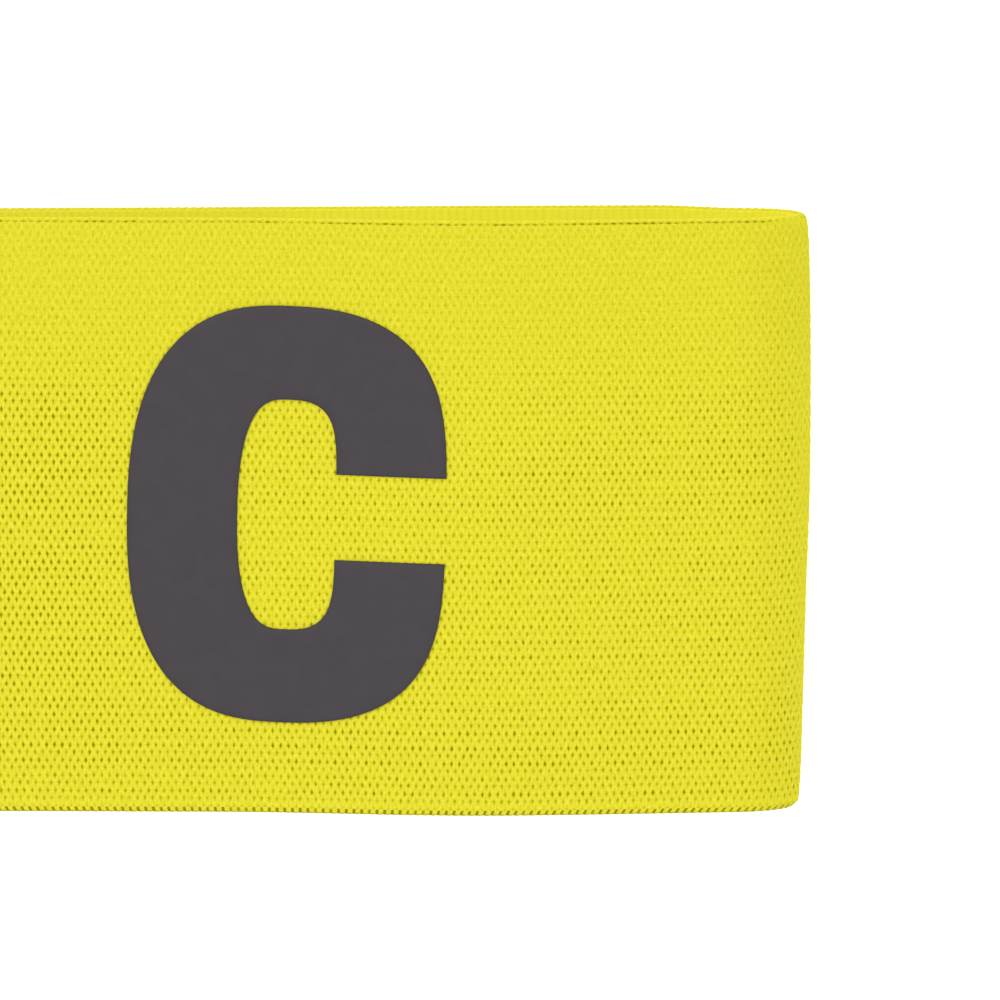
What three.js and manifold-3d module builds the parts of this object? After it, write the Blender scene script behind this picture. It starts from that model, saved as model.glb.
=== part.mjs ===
// A captain's armband: wide knitted elastic tape sewn into a loop, lying flattened on
// its back with a heat-pressed letter C on the layer that faces up.
// Millimetres. +X runs along the loop, +Y towards the top of the letter, +Z up.
// The origin is on the surface that the armband lies on, under its middle.

import * as THREE from "three";
import { mergeVertices } from "three/addons/utils/BufferGeometryUtils.js";
import Module from "manifold-3d";

// The knitted tape
const TAPE_WIDTH = 75;
const TAPE_WALL = 1.3;
const SELVEDGE_BEVEL = 0.4;

// The loop as it lies: two layers between two rounded ends
const LOOP_LENGTH = 130;
const LOOP_HEIGHT = 13;
const LEFT_FOLD_DEPTH = 11;
const RIGHT_FOLD_DEPTH = 7;
const BACK_LIFT = 2.2;
const LIFT_RUN = 12;
const BACK_DRIFT = 0.45;

// The joint in the lower layer, near the left-hand end, where one tape end lies on the other
const LAP_LENGTH = 12;
const LAP_GAP = 0.3;
const LAP_RAMP = 6;
const LAP_FROM_FOLD = 0.3;

// The letter
const LETTER_WIDTH = 39.5;
const LETTER_HEIGHT = 52.5;
const COUNTER_WIDTH = 12.2;
const COUNTER_HEIGHT = 29;
const LETTER_RAISED = 0.36;
const LETTER_TURN_DEG = 1.3;
const MOUTH_ABOVE = 5.3;
const MOUTH_BELOW = 5.5;
const FILM_THICKNESS = 0.4;
const FILM_GAP = 0.25;

// How fine the facets are
const UPPER_STEPS = 44;
const LOWER_STEPS = 8;
const FOLD_STEPS = 18;
const RISE_STEPS = 6;
const WIDTH_STEPS = 10;
const BOWL_STEPS = 96;

// Height of the upper layer, as a share of LOOP_HEIGHT, at shares of half the loop's length
const UPPER_LAYER = [
  { along: -1, height: 0.76 },
  { along: -0.8, height: 0.775 },
  { along: -0.54, height: 0.784 },
  { along: -0.3, height: 0.8 },
  { along: -0.07, height: 0.826 },
  { along: 0.1, height: 0.9 },
  { along: 0.25, height: 0.974 },
  { along: 0.4, height: 1 },
  { along: 0.55, height: 0.964 },
  { along: 0.7, height: 0.906 },
  { along: 0.85, height: 0.845 },
  { along: 1, height: 0.78 },
];

// How far the rounded ends reach, as a share of half the loop's length, across the tape
const END_REACH = [
  { across: -1, reach: 0.979 },
  { across: -0.64, reach: 0.987 },
  { across: -0.3, reach: 0.992 },
  { across: 0.04, reach: 0.9985 },
  { across: 0.35, reach: 1 },
  { across: 0.7, reach: 0.999 },
  { across: 0.88, reach: 0.996 },
  { across: 1, reach: 0.992 },
];

// How square the sides of the letter's two bowls are: the powers of x and of y in their outlines
const OUTER_BOWL = {
  left: { across: 2.67, up: 2.5 },
  right: { across: 2.42, up: 3.7 },
};
const COUNTER_BOWL = {
  left: { across: 3, up: 2.36 },
  right: { across: 2.8, up: 5.7 },
};

const TAPE_COLOUR = 0xece532;
const LETTER_COLOUR = 0x4f4a4e;

// What follows from the sizes above
const HALF_LENGTH = LOOP_LENGTH / 2;
const HALF_WIDTH = TAPE_WIDTH / 2;
const LEFT_FOLD_START = LEFT_FOLD_DEPTH - HALF_LENGTH;
const RIGHT_FOLD_START = HALF_LENGTH - RIGHT_FOLD_DEPTH;
const LIFT_START = RIGHT_FOLD_START - LIFT_RUN;
const LAP_RISE = TAPE_WALL + LAP_GAP;
const BEVEL = Math.min(SELVEDGE_BEVEL, TAPE_WALL * 0.45);

const wasm = await Module();
wasm.setup();

// Reads a table at one place: a cubic through its rows, with each row's slope from its neighbours.
function readTable(table, key, value, at) {
  const last = table.length - 1;
  const place = Math.min(Math.max(at, table[0][key]), table[last][key]);
  let row = 0;
  while (row < last - 1 && place > table[row + 1][key]) row++;
  const slopeAt = (i) => {
    const before = table[Math.max(i - 1, 0)];
    const after = table[Math.min(i + 1, last)];
    return (after[value] - before[value]) / (after[key] - before[key]);
  };
  const [start, end] = [table[row], table[row + 1]];
  const span = end[key] - start[key];
  const t = (place - start[key]) / span;
  const ease = t * t * (3 - 2 * t);
  const leave = t * (1 - t) * (1 - t) * slopeAt(row) * span;
  const arrive = t * t * (1 - t) * slopeAt(row + 1) * span;
  return start[value] * (1 - ease) + end[value] * ease + leave - arrive;
}

const upperHeight = (x) =>
  LOOP_HEIGHT * readTable(UPPER_LAYER, "along", "height", x / HALF_LENGTH);

// Height of the lower layer, which rises towards the right-hand end.
const lowerHeight = (x) =>
  BACK_LIFT * THREE.MathUtils.smoothstep(x, LIFT_START, RIGHT_FOLD_START);

const endReach = (y) =>
  readTable(END_REACH, "across", "reach", y / HALF_WIDTH);

// Evenly spaced numbers from one value to another, both included.
const spaced = (from, to, steps) =>
  Array.from({ length: steps + 1 }, (_, i) => from + ((to - from) * i) / steps);

// A stretch of the loop's outside on its lower layer, at the height that height(x) gives.
const lowerStretch = (from, to, steps, height) =>
  spaced(from, to, steps).map((x) => ({ x, z: height(x), under: 1 }));

// The upper layer's outside, from the right-hand end to the left-hand end.
const upperStretch = () =>
  spaced(RIGHT_FOLD_START, LEFT_FOLD_START, UPPER_STEPS).map((x) => ({
    x,
    z: upperHeight(x),
    under: 0,
  }));

// A rounded end, half an ellipse that joins the two layers. It reaches as far as the depth, to
// the right where that is above 0 and otherwise to the left.
function foldStretch(start, depth, fromAngle, toAngle) {
  return spaced(fromAngle, toAngle, FOLD_STEPS).map((angle) => {
    const x = start + depth * Math.sin(angle);
    const under = (1 - Math.cos(angle)) / 2;
    return { x, z: upperHeight(x) * (1 - under) + lowerHeight(x) * under, under };
  });
}

// The sideways drift of the back layer, which grows from the right-hand end to the left.
function driftAt({ x, under }) {
  const t = THREE.MathUtils.smoothstep(-x, -HALF_LENGTH, HALF_LENGTH);
  return -BACK_DRIFT * t * under;
}

// Joins stretches into one run of stations, without the doubled points where they meet,
// and gives each station its outward normal and its drift.
function toStations(stretches) {
  const points = stretches
    .flat()
    .filter((p, i, all) => i === 0 || Math.hypot(p.x - all[i - 1].x, p.z - all[i - 1].z) > 1e-6);
  return points.map((p, i) => {
    const before = points[Math.max(i - 1, 0)];
    const after = points[Math.min(i + 1, points.length - 1)];
    const run = new THREE.Vector2(after.x - before.x, after.z - before.z).normalize();
    return { x: p.x, z: p.z, normalX: run.y, normalZ: -run.x, drift: driftAt(p) };
  });
}

// The whole tape, from the end that lies inside the joint round to the end that lies outside it.
function tapeStations() {
  const lapStart = LEFT_FOLD_START + LAP_FROM_FOLD;
  const lapEnd = lapStart + LAP_LENGTH;
  const rampEnd = lapEnd + LAP_RAMP;
  const ramp = (x) => LAP_RISE * (1 - THREE.MathUtils.smoothstep(x, lapEnd + LAP_GAP, rampEnd));
  return toStations([
    lowerStretch(lapStart, lapEnd, LOWER_STEPS / 4, () => LAP_RISE),
    lowerStretch(lapEnd + LAP_GAP, rampEnd, RISE_STEPS, ramp),
    lowerStretch(rampEnd, LIFT_START, LOWER_STEPS, () => 0),
    lowerStretch(LIFT_START, RIGHT_FOLD_START, RISE_STEPS, lowerHeight),
    foldStretch(RIGHT_FOLD_START, RIGHT_FOLD_DEPTH, Math.PI, 0),
    upperStretch(),
    foldStretch(LEFT_FOLD_START, -LEFT_FOLD_DEPTH, 0, Math.PI),
    lowerStretch(LEFT_FOLD_START, lapEnd, LOWER_STEPS / 4, () => 0),
  ]);
}

// A closed wall that follows the stations. Its section lies between two depths under
// the outside, as wide as the tape, with its four corners bevelled.
function loftWall(stations, topDepth, bottomDepth, bevel) {
  const rows = spaced(-(HALF_WIDTH - bevel), HALF_WIDTH - bevel, WIDTH_STEPS);
  const edge = (y, from, to) => (bevel > 0 ? [{ y, depth: from }, { y, depth: to }] : []);
  const section = [
    ...rows.map((y) => ({ y, depth: topDepth })),
    ...edge(HALF_WIDTH, topDepth + bevel, bottomDepth - bevel),
    ...rows.toReversed().map((y) => ({ y, depth: bottomDepth })),
    ...edge(-HALF_WIDTH, bottomDepth - bevel, topDepth + bevel),
  ];
  const positions = stations.flatMap((s) =>
    section.flatMap(({ y, depth }) => [
      (s.x - s.normalX * depth) * endReach(y),
      y + s.drift,
      s.z - s.normalZ * depth,
    ]),
  );
  const ring = section.length;
  const faces = [];
  for (let i = 0; i < stations.length - 1; i++) {
    for (let j = 0; j < ring; j++) {
      const [a, b] = [i * ring + j, i * ring + ((j + 1) % ring)];
      faces.push(a, b, a + ring, b, b + ring, a + ring);
    }
  }
  const outline = section.map(({ y, depth }) => new THREE.Vector2(y, depth));
  const lastRing = (stations.length - 1) * ring;
  for (const [a, b, c] of THREE.ShapeUtils.triangulateShape(outline, [])) {
    faces.push(a, c, b);
    faces.push(lastRing + a, lastRing + b, lastRing + c);
  }
  const geometry = new THREE.BufferGeometry();
  geometry.setAttribute("position", new THREE.Float32BufferAttribute(positions, 3));
  geometry.setIndex(faces);
  return geometry;
}

// A geometry as a solid for joins and cuts.
function toSolid(geometry) {
  const bare = geometry.clone();
  bare.deleteAttribute("normal");
  bare.deleteAttribute("uv");
  const merged = mergeVertices(bare, 1e-4);
  return new wasm.Manifold(
    new wasm.Mesh({
      numProp: 3,
      vertProperties: merged.attributes.position.array,
      triVerts: new Uint32Array(merged.index.array),
    }),
  );
}

// A solid back as a flat-shaded geometry.
function toGeometry(solid) {
  const { numProp, vertProperties, triVerts } = solid.getMesh();
  const count = vertProperties.length / numProp;
  const positions = new Float32Array(count * 3);
  for (let i = 0; i < count; i++) {
    positions.set(vertProperties.subarray(i * numProp, i * numProp + 3), i * 3);
  }
  const geometry = new THREE.BufferGeometry();
  geometry.setAttribute("position", new THREE.BufferAttribute(positions, 3));
  geometry.setIndex(new THREE.BufferAttribute(new Uint32Array(triVerts), 1));
  const flat = geometry.toNonIndexed();
  flat.computeVertexNormals();
  return flat;
}

// A block as tall as the loop, and more, whose plan is the given shape.
function standingBlock(shape) {
  const block = new THREE.ExtrudeGeometry(shape, { depth: LOOP_HEIGHT * 2, bevelEnabled: false });
  return toSolid(block);
}

// A point of the upright letter, where the letter lies on the tape: turned clockwise and raised.
function onTape(x, y) {
  const turn = THREE.MathUtils.degToRad(-LETTER_TURN_DEG);
  const point = new THREE.Vector2(x, y).rotateAround(new THREE.Vector2(), turn);
  return point.add(new THREE.Vector2(0, LETTER_RAISED));
}

// One bowl of the letter: a superellipse with its own powers of x and y on each side.
function bowl(width, height, { left, right }) {
  const points = spaced(0, 2 * Math.PI, BOWL_STEPS)
    .slice(0, -1)
    .map((angle) => {
      const [c, s] = [Math.cos(angle), Math.sin(angle)];
      const { across, up } = c < 0 ? left : right;
      return onTape(
        (width / 2) * Math.sign(c) * Math.abs(c) ** (2 / across),
        (height / 2) * Math.sign(s) * Math.abs(s) ** (2 / up),
      );
    });
  return new THREE.Shape(points);
}

// The opening between the letter's two terminals, from its middle out past its right side.
function mouth() {
  return new THREE.Shape([
    onTape(0, -MOUTH_BELOW),
    onTape(LETTER_WIDTH, -MOUTH_BELOW),
    onTape(LETTER_WIDTH, MOUTH_ABOVE),
    onTape(0, MOUTH_ABOVE),
  ]);
}

function letterGeometry() {
  const outer = bowl(LETTER_WIDTH, LETTER_HEIGHT, OUTER_BOWL);
  const counter = bowl(COUNTER_WIDTH, COUNTER_HEIGHT, COUNTER_BOWL);
  const plan = standingBlock(outer)
    .subtract(standingBlock(counter))
    .subtract(standingBlock(mouth()));
  const film = loftWall(toStations([upperStretch()]), -FILM_GAP - FILM_THICKNESS, -FILM_GAP, 0);
  return toGeometry(toSolid(film).intersect(plan));
}

function piece(name, geometry, color, roughness) {
  const material = new THREE.MeshStandardMaterial({ color, roughness, metalness: 0 });
  const mesh = new THREE.Mesh(geometry, material);
  mesh.name = name;
  return mesh;
}

const tape = loftWall(tapeStations(), 0, TAPE_WALL, BEVEL).toNonIndexed();
tape.computeVertexNormals();

const armband = new THREE.Group();
armband.add(piece("elastic_loop", tape, TAPE_COLOUR, 0.85));
armband.add(piece("letter_c", letterGeometry(), LETTER_COLOUR, 0.7));

// The origin goes under the middle of the loop, on the surface that it lies on.
const bounds = new THREE.Box3().setFromObject(armband);
const middle = bounds.getCenter(new THREE.Vector3());
armband.position.set(-middle.x, -middle.y, -bounds.min.z);

export default armband;
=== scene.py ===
"""A captain's armband: a loop of knitted elastic tape, lying flattened, with a pressed film letter.

Every piece is a surface worked out as whole arrays. Lengths are in metres, in the frame of the
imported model: +X along the loop, +Y across the tape towards the top of the letter, +Z up.
"""

import math

import bpy
import numpy as np
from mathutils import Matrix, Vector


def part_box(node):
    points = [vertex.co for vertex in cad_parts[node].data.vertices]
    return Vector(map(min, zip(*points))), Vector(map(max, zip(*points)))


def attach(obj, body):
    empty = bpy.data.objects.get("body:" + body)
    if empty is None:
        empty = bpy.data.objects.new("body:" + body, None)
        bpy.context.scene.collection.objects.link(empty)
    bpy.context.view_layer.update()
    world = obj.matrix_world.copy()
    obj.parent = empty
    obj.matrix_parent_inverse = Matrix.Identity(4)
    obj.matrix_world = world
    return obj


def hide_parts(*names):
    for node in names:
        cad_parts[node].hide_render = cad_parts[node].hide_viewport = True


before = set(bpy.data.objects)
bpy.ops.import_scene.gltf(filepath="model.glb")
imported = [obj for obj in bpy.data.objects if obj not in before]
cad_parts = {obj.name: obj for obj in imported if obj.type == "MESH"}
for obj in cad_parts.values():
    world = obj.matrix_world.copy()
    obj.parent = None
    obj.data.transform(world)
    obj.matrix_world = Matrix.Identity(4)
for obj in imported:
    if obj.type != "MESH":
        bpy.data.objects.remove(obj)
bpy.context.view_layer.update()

bl_info = {
    "name": "Captain Armband",
    "version": (1, 0, 0),
    "blender": (4, 5, 0),
    "location": "3D Viewport > Sidebar > Armband",
    "description": "Builds a knitted elastic captain's armband with a pressed letter",
    "category": "Object",
}

MM = 0.001
LOOP_LOW, LOOP_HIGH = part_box("elastic_loop")

# Height of the upper layer: (share of half the loop's length, share of the loop's height)
UPPER_LAYER = (
    (-1.00, 0.760),
    (-0.80, 0.775),
    (-0.54, 0.784),
    (-0.30, 0.800),
    (-0.07, 0.826),
    (0.10, 0.900),
    (0.25, 0.974),
    (0.40, 1.000),
    (0.55, 0.964),
    (0.70, 0.906),
    (0.85, 0.845),
    (1.00, 0.780),
)

# Reach of the rounded ends: (share of half the tape's width, share of half the loop's length)
END_REACH = (
    (-1.000, 0.969),
    (-0.975, 0.9795),
    (-0.64, 0.987),
    (-0.30, 0.992),
    (0.04, 0.9985),
    (0.35, 1.000),
    (0.70, 0.999),
    (0.88, 0.996),
    (0.97, 0.9925),
    (1.00, 0.987),
)

# The knit's rows: full rows of holes, then one faint row, then the holes between the edge loops
FULL_ROWS = 37
FAINT_ROW = 38
EDGE_ROW = 39

# Both ends of a slot between two edge loops, in rows from the tape's middle: (closed, open)
SLOT_START = (38.55, 38.9)
SLOT_END = (39.65, 39.3)

# Where the front layer starts to turn down towards its right-hand end
BEND_START = (59.0 * MM, 62.0 * MM)

# The tape's two edges, from the outer face round to the inner one: (row number, distance in from
# the lower selvedge, distance in from the upper selvedge, depth as a share of the wall)
SELVEDGE = (
    (38.5, 0.78 * MM, 0.70 * MM, 0.00),
    (39.0, 0.43 * MM, 0.46 * MM, 0.03),
    (39.5, 0.08 * MM, 0.16 * MM, 0.15),
    (40.0, 0.01 * MM, 0.01 * MM, 0.62),
    (40.5, 0.26 * MM, 0.26 * MM, 0.94),
)


def length_value(name, description, default):
    """A length that a user may change, in metres."""
    return bpy.props.FloatProperty(
        name=name, description=description, default=default, precision=5, unit="LENGTH"
    )


def share_value(name, description, default):
    """A plain number that a user may change."""
    return bpy.props.FloatProperty(name=name, description=description, default=default, precision=3)


def powers_value(name, description, default):
    """Two powers that a user may change, of x and of y."""
    return bpy.props.FloatVectorProperty(
        name=name, description=description, default=default, size=2, precision=2, min=1
    )


def angle_value(name, description, degrees):
    """An angle that a user may change; its default is given in degrees."""
    return bpy.props.FloatProperty(
        name=name, description=description, default=math.radians(degrees), unit="ROTATION"
    )


def colour_value(name, description, default):
    """A linear colour that a user may change."""
    return bpy.props.FloatVectorProperty(
        name=name, description=description, default=default, size=3, subtype="COLOR", min=0, max=1
    )


class ArmbandTape(bpy.types.PropertyGroup):
    """The knitted elastic tape and the loop that it is sewn into."""

    width: length_value("Width", "From selvedge to selvedge", 75 * MM)
    wall: length_value("Wall", "Thickness of the knit", 1.3 * MM)
    left_fold: length_value("Left fold", "Depth of the rounded end on the left", 11 * MM)
    right_fold: length_value("Right fold", "Depth of the rounded end on the right", 7 * MM)
    back_lift: length_value("Back lift", "Rise of the back layer at the right fold", 2.2 * MM)
    lift_run: length_value("Lift run", "Length over which the back layer rises", 12 * MM)
    back_drift: length_value("Back drift", "Sideways slip of the back layer", 0.45 * MM)
    lap_length: length_value("Lap", "How far the two tape ends lie on each other", 12 * MM)
    lap_gap: length_value("Lap gap", "Space between the lapped ends", 0.3 * MM)
    lap_ramp: length_value("Lap ramp", "Length of the rise onto the lap", 6 * MM)
    lap_from_fold: length_value("Lap from fold", "From the left-hand bend to the lap", 0.3 * MM)
    column: length_value("Column", "From one hole to the next along the tape", 0.985 * MM)
    row: length_value("Row", "From one row of holes to the next", 0.9636 * MM)
    row_pairing: length_value("Row pairing", "How far every other row is shifted", 0.1 * MM)
    top_closer: length_value("Top rows", "How much closer the last rows lie at the top", 0.25 * MM)
    hole_depth: length_value("Hole depth", "Depth of the dimple at each hole", 0.2 * MM)
    yarn: colour_value("Yarn", "Colour of the yarn", (0.70, 0.642, 0.011))
    # Yarn crest: a painted highlight along the top of each strand
    crest_highlight: colour_value("Yarn crest", "Colour of the yarn's crests", (0.91, 0.842, 0.059))
    # Hole: painted shade, the dark inside of the loop seen through each hole; the other painted shade
    # on the knit blends to it too
    hole: colour_value("Hole", "Colour inside the holes", (0.30, 0.275, 0.0))
    inside: colour_value("Inside", "Colour of the plain inner face", (0.875, 0.822, 0.049))


class ArmbandLetter(bpy.types.PropertyGroup):
    """The letter pressed on the front layer."""

    width: length_value("Width", "Across the letter", 39.5 * MM)
    height: length_value("Height", "From its foot to its top", 52.5 * MM)
    counter_width: length_value("Counter width", "Across the space inside it", 12.2 * MM)
    counter_height: length_value("Counter height", "Height of the space inside it", 29 * MM)
    left_bowl: powers_value("Left bowl", "Powers of x and y in the outline's left half", (2.67, 2.5))
    right_bowl: powers_value("Right bowl", "The same in its right half", (2.42, 3.7))
    left_counter: powers_value("Left counter", "The same for the space inside", (3.0, 2.36))
    right_counter: powers_value("Right counter", "The same for its right half", (2.8, 5.7))
    raised: length_value("Raised", "How far it sits above the tape's middle", 0.36 * MM)
    turn: angle_value("Turn", "How far it is turned clockwise on the tape", 1.3)
    mouth_above: length_value("Mouth above", "Upper terminal above the letter's middle", 5.3 * MM)
    mouth_below: length_value("Mouth below", "Lower terminal below the letter's middle", 5.5 * MM)
    film: length_value("Film", "Thickness of the film", 0.3 * MM)
    colour: colour_value("Film colour", "Colour of the film", (0.058, 0.050, 0.056))


class ArmbandThread(bpy.types.PropertyGroup):
    """The zigzag stitching of the lap."""

    thickness: length_value("Thickness", "Diameter of the thread", 0.3 * MM)
    stitch: length_value("Stitch", "Length of one zigzag along the seam", 2.2 * MM)
    swing: length_value("Swing", "Width of the zigzag", 2.4 * MM)
    inset: length_value("Inset", "From the tape's cut end to the middle of the zigzag", 2.4 * MM)
    colour: colour_value("Thread colour", "Colour of the thread", (0.86, 0.80, 0.06))


class ArmbandStage(bpy.types.PropertyGroup):
    """The floor, the light and the camera."""

    floor_size: length_value("Floor", "Side of the floor", 6.0)
    floor_colour: colour_value("Floor colour", "Colour of the floor", (0.93, 0.93, 0.93))
    floor_glow: share_value("Floor glow", "Light that the lit table gives off by itself", 0.5)
    sky: share_value("Room light", "Strength of the even light from all round", 0.60)
    key: share_value("Key light", "Power of the large lamp, in watts", 9.0)
    fill: share_value("Fill light", "Power of the second lamp, in watts", 4.5)
    distance: length_value("Camera distance", "From the camera to the front layer", 2.2)
    tilt: angle_value("View tilt", "How far the view is off the front layer's normal", 10.88)
    scale: share_value("Scale", "Pixels per millimetre at the front layer", 8.077)
    aim_x: length_value("Aim X", "Point shown in the middle of the picture", 26.45 * MM)
    aim_y: length_value("Aim Y", "Point shown in the middle of the picture", 2.39 * MM)
    aim_z: length_value("Aim Z", "Point shown in the middle of the picture", 11.0 * MM)


def read_table(table, at):
    """Cubic through the table's rows, each with the slope of the line between its neighbours."""
    keys, values = np.array(table).T
    slopes = np.empty_like(values)
    slopes[1:-1] = (values[2:] - values[:-2]) / (keys[2:] - keys[:-2])
    slopes[[0, -1]] = np.diff(values)[[0, -1]] / np.diff(keys)[[0, -1]]
    at = np.clip(at, keys[0], keys[-1])
    row = np.clip(np.searchsorted(keys, at, side="right") - 1, 0, len(keys) - 2)
    span = keys[row + 1] - keys[row]
    t = (at - keys[row]) / span
    ease = t * t * (3 - 2 * t)
    leave = t * (1 - t) ** 2 * slopes[row] * span
    arrive = t * t * (1 - t) * slopes[row + 1] * span
    return values[row] * (1 - ease) + values[row + 1] * ease + leave - arrive


def smooth_step(x, low, high):
    """0 below low, 1 above high, and 3t^2 - 2t^3 between."""
    t = np.clip((x - low) / (high - low), 0, 1)
    return t * t * (3 - 2 * t)


class LoopLine:
    """The line that the tape's outside follows round the flattened loop, seen along the tape's width.

    It starts at the tape end inside the lap, runs to the right under the loop, round the
    right-hand end, back over the top, round the left-hand end and to the tape end under the lap.
    """

    def __init__(self, tape):
        self.half_length = (LOOP_HIGH.x - LOOP_LOW.x) / 2
        self.height = LOOP_HIGH.z - LOOP_LOW.z
        self.half_width = tape.width / 2
        self.middle_y = LOOP_HIGH.y - self.half_width
        self.drift = tape.back_drift
        x, z, under = self.outline(tape)
        steps = np.hypot(np.diff(x), np.diff(z))
        self.run = np.concatenate([[0], np.cumsum(steps)])
        self.x, self.z, self.under = x, z, under
        self.total = self.run[-1]
        direction_x, direction_z = np.gradient(x, self.run), np.gradient(z, self.run)
        size = np.hypot(direction_x, direction_z)
        self.normal_x, self.normal_z = direction_z / size, -direction_x / size
        on_top = under == 0
        self.top_x, self.top_run = x[on_top][::-1], self.run[on_top][::-1]

    def upper_height(self, x):
        """Height of the upper layer above the floor."""
        return self.height * read_table(UPPER_LAYER, x / self.half_length)

    def outline(self, tape):
        """Places x and z on the line, and how far each is on the lower layer, from 0 to 1.

        Each rounded end is half an ellipse. Its x grows by the fold's depth times the sine of
        the angle, and its z goes from the lower height to the upper one by half the cosine.
        """
        left = tape.left_fold - self.half_length
        right = self.half_length - tape.right_fold
        lap_start = left + tape.lap_from_fold
        lap_end = lap_start + tape.lap_length
        rise = tape.wall + tape.lap_gap

        inner_x = np.linspace(lap_start, right, 800)
        on_lap = 1 - smooth_step(inner_x, lap_end + tape.lap_gap, lap_end + tape.lap_ramp)
        turn = np.linspace(math.pi, 0, 200)[1:]
        right_x = right + tape.right_fold * np.sin(turn)
        top_x = np.linspace(right, left, 800)[1:-1]
        left_x = left - tape.left_fold * np.sin(turn[::-1])
        outer_x = np.linspace(left, lap_end, 200)[1:]
        curl = (1 + np.cos(turn)) / 2
        x = np.concatenate([inner_x, right_x, top_x, left_x, outer_x])
        above = np.concatenate(
            [np.zeros(inner_x.size), curl, np.ones(top_x.size), curl[::-1], np.zeros(outer_x.size)]
        )
        lift = tape.back_lift * smooth_step(x, right - tape.lift_run, right)
        z = above * self.upper_height(x) + (1 - above) * lift
        z[: inner_x.size] += rise * on_lap
        return x, z, 1 - above

    def place(self, run, across, depth):
        """Points at a distance along the line, a place across the tape and a depth under its outside.

        Across the tape the rounded ends reach a little less or more, so x is scaled by a table.
        """
        normal_x = np.interp(run, self.run, self.normal_x)
        normal_z = np.interp(run, self.run, self.normal_z)
        size = np.hypot(normal_x, normal_z)
        x = np.interp(run, self.run, self.x) - depth * normal_x / size
        z = np.interp(run, self.run, self.z) - depth * normal_z / size
        slip = smooth_step(-x, -self.half_length, self.half_length)
        y = across - self.drift * slip * np.interp(run, self.run, self.under) + self.middle_y
        reach = read_table(END_REACH, across / self.half_width)
        return np.stack(np.broadcast_arrays(x * reach, y, z), axis=-1)

    def run_on_top(self, x, across):
        """Distance along the line of a place on the upper layer that is seen at x from above."""
        reach = read_table(END_REACH, across / self.half_width)
        return np.interp(x / reach, self.top_x, self.top_run)


def make_piece(name, points, faces, materials, uv=None, face_material=None):
    """A smooth mesh piece from points, faces and its pattern coordinates, one pair for each point."""
    mesh = bpy.data.meshes.new(name)
    mesh.from_pydata(points.reshape(-1, 3), [], faces)
    mesh.shade_smooth()
    if uv is not None:
        corner = np.empty(len(mesh.loops), np.int32)
        mesh.loops.foreach_get("vertex_index", corner)
        layer = mesh.uv_layers.new(name="knit")
        layer.data.foreach_set("uv", uv.reshape(-1, 2)[corner].astype(np.float32).ravel())
    for material in materials:
        mesh.materials.append(material)
    if face_material is not None:
        mesh.polygons.foreach_set("material_index", face_material)
    piece = bpy.data.objects.new(name, mesh)
    bpy.context.scene.collection.objects.link(piece)
    return piece


class Paint:
    """One material's nodes. Each method adds a node and gives back its output socket."""

    def __init__(self, name):
        self.material = bpy.data.materials.new(name)
        self.material.use_nodes = True
        self.tree = self.material.node_tree
        self.surface = self.tree.nodes["Principled BSDF"]

    def put(self, socket, value):
        """Joins a socket to an output, or gives it a constant."""
        if isinstance(value, bpy.types.NodeSocket):
            self.tree.links.new(value, socket)
        else:
            socket.default_value = value

    def node(self, kind, output=0, inputs=None, **settings):
        """Any node, with its settings and its inputs by name or number."""
        made = self.tree.nodes.new(kind)
        for key, value in settings.items():
            setattr(made, key, value)
        for key, value in (inputs or {}).items():
            self.put(made.inputs[key], value)
        return made.outputs[output]

    def math(self, operation, *values, clamp=False):
        """A math node on one to three numbers or outputs."""
        return self.node(
            "ShaderNodeMath", inputs=dict(enumerate(values)), operation=operation, use_clamp=clamp
        )

    def scaled(self, value, times, plus=0.0):
        """A value times a second one, plus a third."""
        return self.math("MULTIPLY_ADD", value, times, plus)

    def product(self, *values, clamp=False):
        """The product of two or more values, clamped to 0 to 1 at the end if asked."""
        result = values[0]
        for value in values[1:-1]:
            result = self.math("MULTIPLY", result, value)
        return self.math("MULTIPLY", result, values[-1], clamp=clamp)

    def split(self, vector):
        """The three coordinates of a vector."""
        return self.node("ShaderNodeSeparateXYZ", inputs={0: vector}).node.outputs

    def coordinates(self):
        """The piece's own coordinates, in metres."""
        return self.node("ShaderNodeTexCoord", output="Object")

    def ramp(self, value, low, high, to_low=0.0, to_high=1.0):
        """A smooth change from to_low to to_high as the value goes from low to high."""
        inputs = {
            "Value": value,
            "From Min": low,
            "From Max": high,
            "To Min": to_low,
            "To Max": to_high,
        }
        return self.node("ShaderNodeMapRange", inputs=inputs, interpolation_type="SMOOTHSTEP")

    def blend(self, share, first, second):
        """A mix of two colours. Inputs 0, 6 and 7 of its node are the share and the colours."""
        made = self.tree.nodes.new("ShaderNodeMix")
        made.data_type = "RGBA"
        colours = [(*c, 1.0) if isinstance(c, tuple) else c for c in (first, second)]
        for number, value in zip((0, 6, 7), (share, *colours)):
            self.put(made.inputs[number], value)
        return made.outputs[2]

    def noise(self, scale, detail=2.0, vector=None):
        """A noise from 0 to 1 on the piece's coordinates, with a scale per metre, or on others."""
        inputs = {"Vector": vector or self.coordinates(), "Scale": scale, "Detail": detail}
        return self.node("ShaderNodeTexNoise", inputs=inputs)

    def bump(self, height, distance, strength=1.0):
        """Bumps the surface by a height that is a share of the distance."""
        inputs = {"Height": height, "Distance": distance, "Strength": strength}
        self.put(self.surface.inputs["Normal"], self.node("ShaderNodeBump", inputs=inputs))

    def finish(self, colour, roughness, specular):
        """Sets the surface's colour, roughness and specular level."""
        colour = (*colour, 1.0) if isinstance(colour, tuple) else colour
        self.put(self.surface.inputs["Base Color"], colour)
        self.put(self.surface.inputs["Roughness"], roughness)
        self.surface.inputs["Specular IOR Level"].default_value = specular
        return self.material


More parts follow.
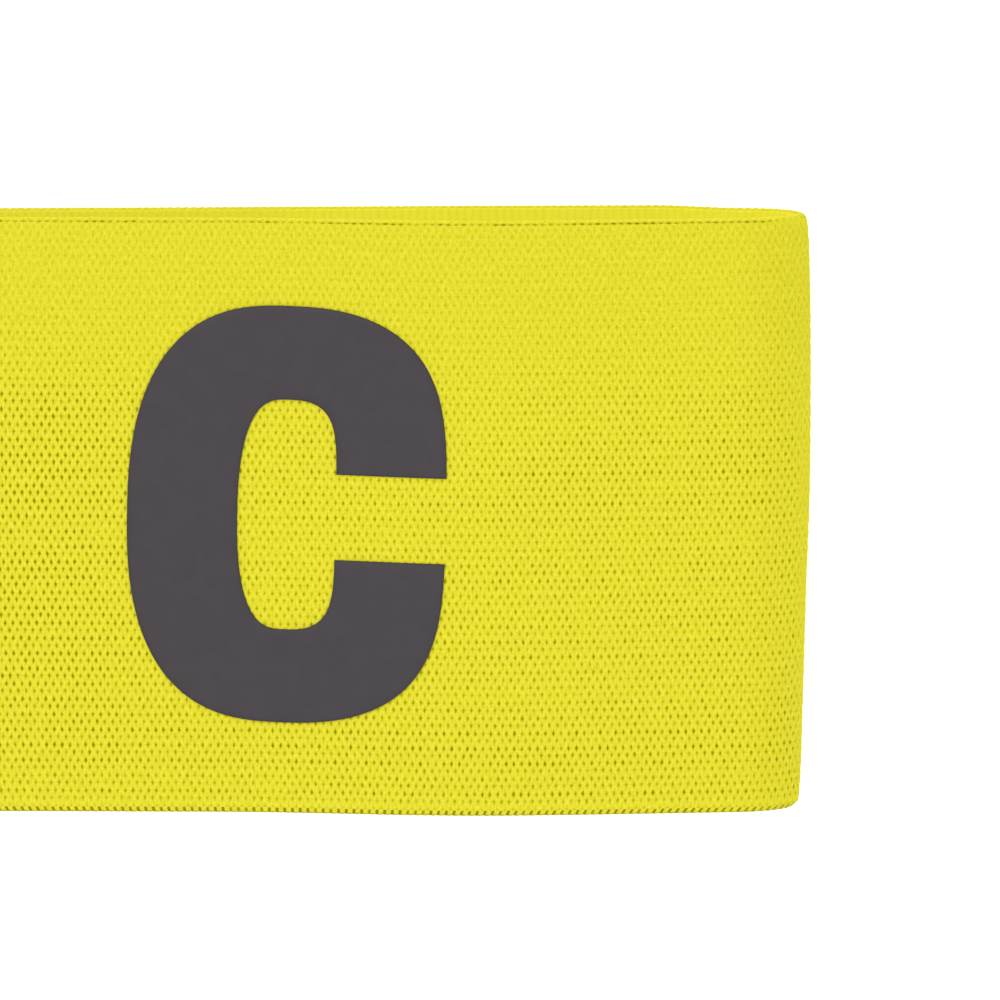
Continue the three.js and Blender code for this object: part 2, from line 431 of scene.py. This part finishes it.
def knit_pattern(paint):
    """The diamond net of the knit, from the tape's own coordinates in columns and rows.

    Two families of strands zigzag along the rows by half a column. A place's distance to the
    nearest strand is 0 on the yarn and 0.5 in the middle of a hole. Gives that distance, the
    column and row coordinates, the number of the nearest row, and one random number per hole.
    """
    uv = paint.node("ShaderNodeUVMap", uv_map="knit")
    wander = paint.node("ShaderNodeTexNoise", 1, {"Vector": uv, "Scale": 0.9, "Detail": 1.0})
    wander_along, wander_across, _ = paint.split(wander)
    along, across, _ = paint.split(uv)
    column = paint.math("ADD", along, paint.scaled(wander_along, 0.22, -0.11))
    row = paint.math("ADD", across, paint.scaled(wander_across, 0.24, -0.12))
    half_zigzag = paint.math("MULTIPLY", paint.math("PINGPONG", row, 1.0), 0.5)
    shifted = paint.math("ADD", column, 0.5)
    first = paint.math("PINGPONG", paint.math("ADD", shifted, half_zigzag), 0.5)
    second = paint.math("PINGPONG", paint.math("SUBTRACT", shifted, half_zigzag), 0.5)
    distance = paint.math("MINIMUM", first, second)
    row_number = paint.math("ROUND", across)
    column_number = paint.math(
        "ROUND", paint.scaled(paint.math("PINGPONG", row_number, 1.0), 0.5, along)
    )
    hole_name = paint.node("ShaderNodeCombineXYZ", 0, {0: column_number, 1: row_number})
    chance = paint.node("ShaderNodeTexWhiteNoise", 0, {"Vector": hole_name}, noise_dimensions="2D")
    return distance, along, row, row_number, chance


def hole_shade_strength(paint, side, row, row_number, chance):
    """How strong the painted shade in each hole is, from 0 to 1, as a product of shares.

    The painted shade in the holes is deeper towards the lower left and fainter towards the top edge.
    The shares also differ by patch, by row and by hole. The last row is faint, and so is the
    right-hand bend.
    """
    own = paint.scaled(chance, 0.36, 0.56)
    row_chance = paint.node(
        "ShaderNodeTexWhiteNoise", 0, {"W": row_number}, noise_dimensions="1D"
    )
    odd_row = paint.math("PINGPONG", row_number, 1.0)
    by_row = paint.scaled(odd_row, -0.12, paint.scaled(row_chance, 0.22, 0.9))
    edge = paint.math("ABSOLUTE", row_number)
    faint = paint.ramp(row_number, -10.0, 10.0, 0.45, 1.0)
    last_row = paint.ramp(edge, FULL_ROWS + 0.4, FULL_ROWS + 0.6, 1.0, faint)
    bend = paint.ramp(side, 62.6 * MM, 64.0 * MM, 1.0, 0.3)
    # Painted shade in the holes: deeper towards the lower left, fainter towards the top edge
    lower_left = paint.product(
        paint.ramp(side, -12.0 * MM, -30.0 * MM),
        paint.ramp(row, -34.0, -16.0),
        paint.ramp(row, 30.0, 8.0, 0.0, 0.4),
    )
    upwards = paint.ramp(row_number, 6.0, FULL_ROWS, 1.0, 0.45)
    downwards = paint.ramp(row_number, -10.0, -FULL_ROWS, 0.0, 0.1)
    by_place = paint.math("ADD", paint.math("ADD", lower_left, upwards), downwards)
    by_patch = paint.scaled(paint.noise(60.0), 0.4, 0.75)
    return paint.product(own, by_row, last_row, bend, by_place, by_patch, clamp=True)


def edge_slots(paint, side, top_front, column, row, chance):
    """The painted shade in the slots between the edge loops, one to a column, from 0 to 1.

    On the front layer's top edge they lie lower and are patchy, a thin shadow joins them, and
    they fade out before the right-hand bend.
    """
    near_bend = paint.ramp(side, *BEND_START)
    across_slot = paint.scaled(top_front, 0.08, paint.math("PINGPONG", column, 0.5))
    shadow = paint.product(top_front, paint.scaled(near_bend, -0.42, 0.42))
    slot = paint.math("MAXIMUM", paint.ramp(across_slot, 0.24, 0.42), shadow)
    from_middle = paint.math("ABSOLUTE", row)
    slot_start = paint.scaled(top_front, -0.3, paint.math("ADD", from_middle, 0.15))
    slot_end = paint.scaled(top_front, 0.2, from_middle)
    patchy = paint.ramp(paint.noise(180.0), 0.4, 0.6)
    at_top = paint.scaled(patchy, 0.5, paint.scaled(near_bend, -0.9, -0.55))
    return paint.product(
        slot,
        paint.ramp(slot_start, *SLOT_START),
        paint.ramp(slot_end, *SLOT_END),
        paint.scaled(at_top, top_front, 1.1),
        paint.scaled(chance, 0.6, 0.7),
        clamp=True,
    )


def turned_under(paint, top_front, row):
    """The shade where the tape's edge turns under, from 0 to 1. It is fainter at the top."""
    by_height = paint.ramp(row, -20.0, 20.0, 0.55, 0.2)
    turned = paint.ramp(paint.math("ABSOLUTE", row), 39.1, 39.5)
    return paint.product(by_height, paint.scaled(top_front, -0.6, 1.0), turned)


def broad_painted_shade(paint, side, row):
    """Painted shade on the whole knit, towards the top edge, and towards the right-hand bend where the
    surface turns away from the light.
    """
    upwards = paint.ramp(row, 8.0, 30.0, 0.0, 0.045)
    rightwards = paint.ramp(side, 54.0 * MM, 61.0 * MM, 0.0, 0.05)
    return paint.math("ADD", upwards, rightwards)


def yarn_colour(paint, tape, distance):
    """The yarn: a painted highlight along each strand, with short streaks along the tape and fine
    flecks.
    """
    # Painted highlight along the middle of each strand, where light catches the yarn's crest
    strand = paint.ramp(distance, 0.3, 0.0, 0.0, 0.25)
    uv = paint.node("ShaderNodeUVMap", uv_map="knit")
    stretched = paint.node("ShaderNodeMapping", 0, {"Vector": uv, "Scale": (4.0, 1.2, 1.0)})
    streak = paint.ramp(paint.noise(1.0, 3.0, stretched), 0.35, 0.65)
    fleck = paint.ramp(paint.noise(3400.0, 3.0), 0.35, 0.65)
    light = paint.scaled(streak, 0.35, paint.scaled(fleck, 0.35, strand))
    return paint.blend(light, tuple(tape.yarn), tuple(tape.crest_highlight))


def knit_material(tape):
    """The tape's outer face: a yellow diamond net with painted shade in its holes, fainter towards the
    top edge.
    """
    paint = Paint("knitted_yarn")
    distance, column, row, row_number, chance = knit_pattern(paint)
    side, _, above_floor = paint.split(paint.coordinates())
    # 1 along the front layer's top edge, and 0 elsewhere
    top_front = paint.product(
        paint.ramp(row, 38.0, 38.5), paint.ramp(above_floor, 6.0 * MM, 8.0 * MM)
    )

    hole_shade = hole_shade_strength(paint, side, row, row_number, chance)
    # A stronger painted hole shade also spreads a little wider round each hole
    widened = paint.math("ADD", distance, paint.scaled(hole_shade, 0.1, -0.07))
    on_body = paint.math("LESS_THAN", paint.math("ABSOLUTE", row_number), FAINT_ROW + 0.5)
    # The dark share is painted shade, blended towards the hole colour: in each hole over its real
    # dimple, in the slots between the edge loops, where the edge turns under, and towards the top edge
    # and the bend
    dark = paint.product(paint.ramp(widened, 0.235, 0.42), hole_shade, on_body)
    for shade in (
        edge_slots(paint, side, top_front, column, row, chance),
        turned_under(paint, top_front, row),
        broad_painted_shade(paint, side, row),
    ):
        dark = paint.math("MAXIMUM", dark, shade)
    colour = paint.blend(dark, yarn_colour(paint, tape, distance), tuple(tape.hole))

    relief = paint.scaled(paint.ramp(distance, 0.0, 0.42), -1.0)
    fibre = paint.scaled(paint.noise(3500.0), 0.35, relief)
    paint.bump(fibre, 0.12 * MM, 0.5)
    return paint.finish(colour, 0.8, 0.03)


def inside_material(tape):
    """The tape's inner face: plain and paler, with faint ribs across the tape, one to a column.

    Its left-hand half is a little darker with painted shade, where the two layers lie closer.
    """
    paint = Paint("tape_inside")
    column, _, _ = paint.split(paint.node("ShaderNodeUVMap", uv_map="knit"))
    rib = paint.math("PINGPONG", column, 0.5)
    patchy = paint.product(paint.noise(900.0, 3.0), paint.ramp(rib, 0.1, 0.5))
    side, _, _ = paint.split(paint.coordinates())
    # Painted shade on the left-hand half, where the layers lie closer together
    leftwards = paint.ramp(side, 6.0 * MM, -6.0 * MM, 0.0, 0.5)
    dark = paint.math("ADD", patchy, leftwards, clamp=True)
    darker = tuple(0.9 * part for part in tape.inside)
    colour = paint.blend(dark, tuple(tape.inside), darker)
    paint.bump(paint.math("ADD", rib, paint.noise(3000.0)), 0.08 * MM, 0.5)
    return paint.finish(colour, 0.75, 0.1)


def film_material(letter):
    """The letter's film: dark grey and matt, with a trace of the knit under it."""
    paint = Paint("pressed_film")
    distance = knit_pattern(paint)[0]
    cloudy = paint.ramp(paint.noise(400.0, 3.0), 0.35, 0.65)
    darker = tuple(0.93 * part for part in letter.colour)
    colour = paint.blend(cloudy, tuple(letter.colour), darker)
    grain = paint.math("MULTIPLY", paint.noise(9000.0), 0.5)
    paint.bump(paint.math("SUBTRACT", grain, distance), 0.03 * MM, 0.35)
    return paint.finish(colour, 0.62, 0.3)


def thread_material(thread):
    """Sewing thread: yellow, with the twist of its plies."""
    paint = Paint("sewing_thread")
    inputs = {"Vector": paint.coordinates(), "Scale": 900.0, "Distortion": 2.0}
    twist = paint.node("ShaderNodeTexWave", 1, inputs)
    darker = tuple(0.8 * part for part in thread.colour)
    colour = paint.blend(twist, tuple(thread.colour), darker)
    paint.bump(twist, 0.04 * MM, 0.6)
    return paint.finish(colour, 0.6, 0.2)


def section_rows(tape):
    """The tape's section as a ring of rows: the outer face, one selvedge, the inner face, the other.

    Each row is (row number, place across, depth, column shift). Rows of holes stand on the
    columns and the rows between them are shifted by a quarter column, which makes the net.
    Odd and even rows of holes are moved a little apart from each other, and the last rows at
    the top lie closer together.
    """
    half = tape.width / 2
    outer = []
    for number in np.arange(-FAINT_ROW, FAINT_ROW + 0.5, 0.5):
        pairing = {1: 0.5, 0: -0.5}.get(number % 2, 0) * tape.row_pairing
        shift = 0.25 if number % 1 else 0.0
        closer = tape.top_closer * smooth_step(number, FULL_ROWS - 3, FAINT_ROW + 0.5)
        outer.append((number, number * tape.row + pairing - closer, 0.0, shift))
    upper = [(n, half - inset, depth * tape.wall, 0.25 * (n % 1)) for n, _, inset, depth in SELVEDGE]
    lower = [(-n, inset - half, depth * tape.wall, 0.25 * (n % 1)) for n, inset, _, depth in SELVEDGE]
    inner_half = half - 0.5 * MM
    inner = [(y / tape.row, y, tape.wall, 0.0) for y in np.linspace(inner_half, -inner_half, 5)]
    return np.array(outer + upper + inner + lower[::-1])


def knit_relief(tape, rows, columns):
    """Depth of the net under the tape's outside, and how far each selvedge loop is drawn in.

    A hole lies on each whole column of the even rows and between columns on the odd ones.
    """
    rng = np.random.default_rng(11)
    uneven = 0.05 * MM
    loop_depth = 0.05 * MM
    number = rows[:, :1]
    half_column = np.arange(2 * columns + 1)[None, :]
    whole = number % 1 == 0
    hole = whole & ((half_column + number) % 2 == 0)
    size = np.where(np.abs(number) <= FULL_ROWS, 1.0, 0.4)
    size = np.where(np.abs(number) == EDGE_ROW, 0.8, size)
    outer = (np.abs(number) <= EDGE_ROW) & (rows[:, 2:3] < tape.wall / 2)
    random = rng.uniform(0.7, 1.15, hole.shape)
    relief = np.where(hole & outer, tape.hole_depth * size * random, 0.0)
    relief += np.where(~hole & outer, rng.uniform(0.0, uneven, hole.shape), 0.0)
    on_edge = (np.abs(number) > EDGE_ROW - 0.1) & (rows[:, 2:3] < tape.wall * 0.95)
    drawn_in = np.where(on_edge & (half_column % 2 == 1), loop_depth, 0.0)
    return relief, drawn_in


def ring_cells(rows, stations):
    """First corner of each cell between the rows of a closed ring, and the corner one row on."""
    here, station = np.meshgrid(np.arange(rows), np.arange(stations - 1), indexing="ij")
    return here * stations + station, (here + 1) % rows * stations + station


def ring_faces(rows, stations):
    """Triangles of a closed ring of rows carried along the stations, and a face over each end.

    Each cell is cut along the diagonal that follows the net's strands.
    """
    count = len(rows)
    near, far = (corner[..., None] for corner in ring_cells(count, stations))
    near_on, far_on = near + 1, far + 1
    towards_shift = (rows[:, 3] < np.roll(rows[:, 3], -1))[:, None, None]
    first = np.concatenate([near, far, near_on], -1)
    second = np.concatenate([far, far_on, near_on], -1)
    first_back = np.concatenate([near, far, far_on], -1)
    second_back = np.concatenate([near, far_on, near_on], -1)
    triangles = np.stack(
        [np.where(towards_shift, first, first_back), np.where(towards_shift, second, second_back)],
        axis=2,
    )
    start = (np.arange(count) * stations)[::-1]
    return triangles.reshape(-1, 3), [(start + stations - 1)[::-1].tolist(), start.tolist()]


def seam_places(thread, tape, start):
    """Middles of the two zigzag rows, as distances along the line, of a lap that starts there."""
    return start + thread.inset, start + tape.lap_length - thread.inset


def seam_groove(thread, tape, line, run):
    """How deep the two rows of stitches pull in the outside of the lap, at each distance."""
    seams = seam_places(thread, tape, line.total - tape.lap_length)
    away = np.min([np.abs(run - seam) for seam in seams], axis=0)
    deepest = 0.4 * thread.thickness
    edge = thread.swing / 2 + 0.2 * MM
    slope = 0.8 * MM
    return deepest * (1 - smooth_step(away, edge, edge + slope))


def build_tape(tape, thread):
    """The knitted tape: its section of rows carried round the loop, with the net as relief."""
    line = LoopLine(tape)
    columns = round(line.total / tape.column)
    rows = section_rows(tape)
    stations = 2 * columns + 1
    relief, drawn_in = knit_relief(tape, rows, columns)
    number, across, depth, shift = (rows[:, [i]] for i in range(4))
    column = np.clip(np.arange(stations) / 2 + shift, 0, columns)
    across = across - np.sign(across) * drawn_in
    run = column * line.total / columns
    on_outside = (depth < tape.wall / 2) & (np.abs(number) < EDGE_ROW)
    relief = relief + np.where(on_outside, seam_groove(thread, tape, line, run), 0.0)
    points = line.place(run, across, depth + relief)
    uv = np.stack(np.broadcast_arrays(column, number), axis=-1)
    triangles, ends = ring_faces(rows, stations)
    inner = (depth >= tape.wall * 0.9)[:, 0]
    inner_strip = inner & np.roll(inner, -1)
    face_material = np.repeat(inner_strip, 2 * (stations - 1)).astype(np.int32)
    return make_piece(
        "knitted_tape",
        points,
        triangles.tolist() + ends,
        [knit_material(tape), inside_material(tape)],
        uv,
        np.append(face_material, [0, 0]),
    )


def bowl_points(angle, width, height, left, right):
    """Points of a superellipse, whose powers of x and y differ between its left and right halves."""
    cosine, sine = np.cos(angle), np.sin(angle)
    across, up = (np.where(cosine < 0, *pair) for pair in zip(left, right))
    x = width / 2 * np.sign(cosine) * np.abs(cosine) ** (2 / across)
    y = height / 2 * np.sign(sine) * np.abs(sine) ** (2 / up)
    return np.stack([x, y], axis=-1)


def letter_plan(letter, steps, shares):
    """The letter seen from above: shares across its stroke, carried from terminal to terminal.

    The stroke lies between two superellipses. Each is followed from the angle where it meets
    the upper terminal's line round to the angle where it meets the lower one's. The whole
    is then turned clockwise and raised.
    """
    sides = []
    for width, height, left, right in (
        (letter.counter_width, letter.counter_height, letter.left_counter, letter.right_counter),
        (letter.width, letter.height, letter.left_bowl, letter.right_bowl),
    ):
        start, end = (
            math.asin((2 * level / height) ** (right[1] / 2))
            for level in (letter.mouth_above, letter.mouth_below)
        )
        angle = start + (2 * math.pi - end - start) * steps
        sides.append(bowl_points(angle, width, height, left, right))
    inner, outer = sides
    shares = shares[:, None, None]
    upright = inner * (1 - shares) + outer * shares
    cosine, sine = math.cos(letter.turn), math.sin(letter.turn)
    x = cosine * upright[..., 0] + sine * upright[..., 1]
    y = cosine * upright[..., 1] - sine * upright[..., 0]
    return x, y + letter.raised


def build_letter(letter, tape, line):
    """The film letter: a thin wall over the upper layer, with a rounded rim all round it.

    Its underside is sunk below the knit's crests, so that the film doesn't hover over them.
    """
    # The rim's width across the stroke, its width at the terminals as a share of the stroke's
    # length, and its height as a share of the film
    rim, end_rim, rim_rise = 0.12 * MM, 0.0012, 0.6
    # How far the film is lifted over the knit, and how far its underside is sunk in it
    lift, sunk = 0.04 * MM, 0.1 * MM
    stroke = (letter.width - letter.counter_width) / 2
    steps = np.sort(np.append(np.linspace(0, 1, 241), [end_rim, 1 - end_rim]))
    across = np.concatenate([[0, rim / stroke], np.linspace(0.06, 0.94, 15), [1 - rim / stroke, 1]])
    plan_x, plan_y = letter_plan(letter, steps, across)
    rise = np.ones((across.size, steps.size))
    rise[[0, -1]] = rim_rise
    rise[:, [0, -1]] = rim_rise
    run = line.run_on_top(plan_x, plan_y)
    top = line.place(run, plan_y, -(lift + rise * letter.film))
    foot = line.place(run, plan_y, np.full_like(rise, sunk))
    points = np.concatenate([top, foot[::-1]])
    uv = np.stack([run * round(line.total / tape.column) / line.total, plan_y / tape.row], axis=-1)
    uv = np.concatenate([uv, uv[::-1]])
    rows, stations = 2 * across.size, steps.size
    near, far = ring_cells(rows, stations)
    quads = np.stack([near, far, far + 1, near + 1], -1).reshape(-1, 4)
    k = np.arange(across.size - 1)
    mirror = rows - 1 - k
    start = np.stack([k, mirror, mirror - 1, k + 1], -1) * stations
    end = start[:, ::-1] + stations - 1
    faces = np.concatenate([quads, start, end]).tolist()
    return make_piece("pressed_letter", points, faces, [film_material(letter)], uv)


def tube(path, outward, radius, sides=8):
    """A tube round a path of points: a circle turned square to the path at each of them."""
    ahead = np.gradient(path, axis=0)
    ahead /= np.linalg.norm(ahead, axis=1, keepdims=True)
    side = np.cross(ahead, outward)
    side /= np.linalg.norm(side, axis=1, keepdims=True)
    up = np.cross(side, ahead)
    angle = np.linspace(0, 2 * math.pi, sides, endpoint=False)[:, None, None]
    points = path + radius * (np.cos(angle) * side + np.sin(angle) * up)
    count = len(path)
    near, far = ring_cells(sides, count)
    quads = np.stack([near, near + 1, far + 1, far], -1).reshape(-1, 4).tolist()
    start = (np.arange(sides) * count).tolist()
    ends = [start, [point + count - 1 for point in reversed(start)]]
    return points.reshape(-1, 3), quads + ends


def build_stitching(thread, tape, line):
    """Two zigzag rows through the lap, seen on the outside and again inside the loop.

    The zigzag is a triangle wave across the seam. The thread arches over the knit between
    its needle holes and dips into it at each turn. Inside the loop it stands on the knit, and
    on the outside it lies in its groove, no higher than the tape's face.
    """
    reach = tape.width / 2 - 2.5 * MM
    stitches = int(2 * reach / thread.stitch)
    turns = np.linspace(0, 2 * stitches, 2 * stitches * 6 + 1)
    wave = np.abs((turns % 2) - 1) - 0.5
    arch = np.sqrt(np.abs(np.sin(math.pi * turns)))
    across = np.linspace(-reach, reach, turns.size)
    radius = thread.thickness / 2
    sink = (1 - arch) * 0.9 * radius
    inside = (0, tape.wall + 0.3 * radius - sink, 1.0)
    outside = (line.total - tape.lap_length, radius + sink, -1.0)
    points, faces = [], []
    for start, depth, up in (inside, outside):
        outward = np.array([0, 0, up])
        for seam in seam_places(thread, tape, start):
            path = line.place(seam + wave * thread.swing, across, depth)
            ring, quads = tube(path, outward, radius)
            offset = sum(len(made) for made in points)
            faces += [[offset + corner for corner in face] for face in quads]
            points.append(ring)
    return make_piece("lap_stitching", np.concatenate(points), faces, [thread_material(thread)])


def build_floor(stage):
    """A plain pale table, lit a little from below, at the level that the armband lies on."""
    half = stage.floor_size / 2
    corners = np.array([(-half, -half, 0), (half, -half, 0), (half, half, 0), (-half, half, 0)])
    paint = Paint("pale_floor")
    tone = paint.noise(3.0)
    darker = tuple(0.995 * part for part in stage.floor_colour)
    colour = paint.blend(tone, tuple(stage.floor_colour), darker)
    paint.surface.inputs["Emission Color"].default_value = (1, 1, 1, 1)
    paint.surface.inputs["Emission Strength"].default_value = stage.floor_glow
    return make_piece("floor", corners, [(0, 1, 2, 3)], [paint.finish(colour, 0.9, 0.0)])


def build_lamp(name, place, target, size, power):
    """A square area lamp at a place, turned towards a target."""
    lamp = bpy.data.lights.new(name, "AREA")
    lamp.size = size
    lamp.energy = power
    holder = bpy.data.objects.new(name, lamp)
    bpy.context.scene.collection.objects.link(holder)
    holder.location = place
    direction = np.array(target) - np.array(place)
    flat = math.hypot(direction[0], direction[1])
    turn = math.atan2(-direction[0], direction[1])
    holder.rotation_euler = (math.atan2(flat, -direction[2]), 0, turn)
    return holder


def build_light(stage):
    """Even light from all round, a large lamp beyond the band's top edge and a weaker one in front."""
    scene = bpy.context.scene
    world = bpy.data.worlds.new("studio")
    world.use_nodes = True
    background = world.node_tree.nodes["Background"]
    background.inputs["Color"].default_value = (1, 1, 1, 1)
    background.inputs["Strength"].default_value = stage.sky
    scene.world = world
    build_lamp("key_lamp", (-0.35, 0.8, 1.2), (0, 0, 0), 1.0, stage.key)
    build_lamp("fill_lamp", (0.3, -0.7, 1.2), (0, 0, 0), 1.2, stage.fill)
    scene.view_settings.view_transform = "Standard"
    scene.view_settings.look = "None"


def build_camera(stage):
    """A long lens over the armband, tilted so that the back layer's edge shows above the front's."""
    camera = bpy.data.cameras.new("camera")
    frame_width = 1000 / stage.scale * MM
    camera.sensor_width = 36
    camera.lens = camera.sensor_width * stage.distance / frame_width
    camera.clip_start = 0.05
    holder = bpy.data.objects.new("camera", camera)
    bpy.context.scene.collection.objects.link(holder)
    holder.location = (
        stage.aim_x,
        stage.aim_y + stage.distance * math.sin(stage.tilt),
        stage.aim_z + stage.distance * math.cos(stage.tilt),
    )
    holder.rotation_euler = (-stage.tilt, 0, 0)
    bpy.context.scene.camera = holder


class ARMBAND_OT_tape(bpy.types.Operator):
    """Knit the tape and lay it down as a flattened loop"""

    bl_idname = "armband.tape"
    bl_label = "Knitted Tape"
    bl_options = {"REGISTER", "UNDO"}

    def execute(self, context):
        piece = build_tape(context.scene.armband_tape, context.scene.armband_thread)
        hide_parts("elastic_loop")
        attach(piece, "root")
        return {"FINISHED"}


class ARMBAND_OT_letter(bpy.types.Operator):
    """Press the film letter on the front layer"""

    bl_idname = "armband.letter"
    bl_label = "Film Letter"
    bl_options = {"REGISTER", "UNDO"}

    def execute(self, context):
        scene = context.scene
        line = LoopLine(scene.armband_tape)
        piece = build_letter(scene.armband_letter, scene.armband_tape, line)
        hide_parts("letter_c")
        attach(piece, "root")
        return {"FINISHED"}


class ARMBAND_OT_stitching(bpy.types.Operator):
    """Sew the lap with two zigzag rows"""

    bl_idname = "armband.stitching"
    bl_label = "Lap Stitching"
    bl_options = {"REGISTER", "UNDO"}

    def execute(self, context):
        scene = context.scene
        line = LoopLine(scene.armband_tape)
        piece = build_stitching(scene.armband_thread, scene.armband_tape, line)
        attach(piece, "root")
        return {"FINISHED"}


class ARMBAND_OT_stage(bpy.types.Operator):
    """Set up the floor, the light and the camera"""

    bl_idname = "armband.stage"
    bl_label = "Stage"
    bl_options = {"REGISTER", "UNDO"}

    def execute(self, context):
        stage = context.scene.armband_stage
        build_floor(stage)
        build_light(stage)
        build_camera(stage)
        return {"FINISHED"}


PARTS = (
    ("armband_tape", ArmbandTape, ARMBAND_OT_tape),
    ("armband_letter", ArmbandLetter, ARMBAND_OT_letter),
    ("armband_thread", ArmbandThread, ARMBAND_OT_stitching),
    ("armband_stage", ArmbandStage, ARMBAND_OT_stage),
)


class ARMBAND_PT_panel(bpy.types.Panel):
    """Sizes and colours of the armband, with a button for each piece"""

    bl_idname = "ARMBAND_PT_panel"
    bl_label = "Armband"
    bl_space_type = "VIEW_3D"
    bl_region_type = "UI"
    bl_category = "Armband"

    def draw(self, context):
        for name, group, operator in PARTS:
            box = self.layout.box()
            box.operator(operator.bl_idname)
            for value in group.__annotations__:
                box.prop(getattr(context.scene, name), value)


def register():
    """Registers the settings, the operators and the panel."""
    for name, group, operator in PARTS:
        bpy.utils.register_class(group)
        bpy.utils.register_class(operator)
        setattr(bpy.types.Scene, name, bpy.props.PointerProperty(type=group))
    bpy.utils.register_class(ARMBAND_PT_panel)


def unregister():
    """Takes them out again, in the opposite order."""
    bpy.utils.unregister_class(ARMBAND_PT_panel)
    for name, group, operator in reversed(PARTS):
        delattr(bpy.types.Scene, name)
        bpy.utils.unregister_class(operator)
        bpy.utils.unregister_class(group)


def main():
    register()
    bpy.ops.armband.tape()
    bpy.ops.armband.letter()
    bpy.ops.armband.stitching()
    bpy.ops.armband.stage()
    scene = bpy.context.scene
    line = LoopLine(scene.armband_tape)


if __name__ == "__main__":
    main()
